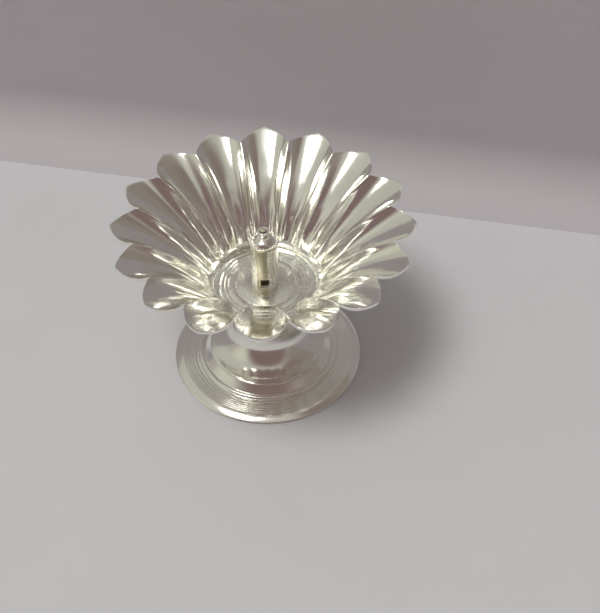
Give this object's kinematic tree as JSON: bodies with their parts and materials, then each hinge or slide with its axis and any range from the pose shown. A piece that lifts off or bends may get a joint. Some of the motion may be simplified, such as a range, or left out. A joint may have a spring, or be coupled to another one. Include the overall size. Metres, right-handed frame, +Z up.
{
  "type": "diya oil lamp",
  "caption": "Small lotus-shaped oil lamp: a fluted petal bowl on a turned hollow foot, with a domed wick holder that lifts off a spigot in the middle.",
  "frame": {"origin": "centre of the underside of the round foot", "axes": "+Z up along the turning axis; one petal points along -Y, which is the front"},
  "size_m": [0.08, 0.08, 0.0505],
  "materials": {
    "silver_plate": "polished",
    "zinc_plate": "satin"
  },
  "bodies": {
    "lamp": {"petal_bowl": "silver_plate", "pedestal": "silver_plate", "spigot_bolt": "silver_plate", "washer": "zinc_plate", "nut": "zinc_plate"},
    "wick_holder": {"wick_tube": "silver_plate", "beaded_band": "silver_plate", "wick_cap": "silver_plate", "wick_nozzle": "silver_plate"}
  },
  "joints": [
    {"name": "wick_holder_lift", "type": "slide", "parent": "lamp", "child": "wick_holder", "axis": [0, 0, 1], "range_m": [0, 0.024]}
  ]
}
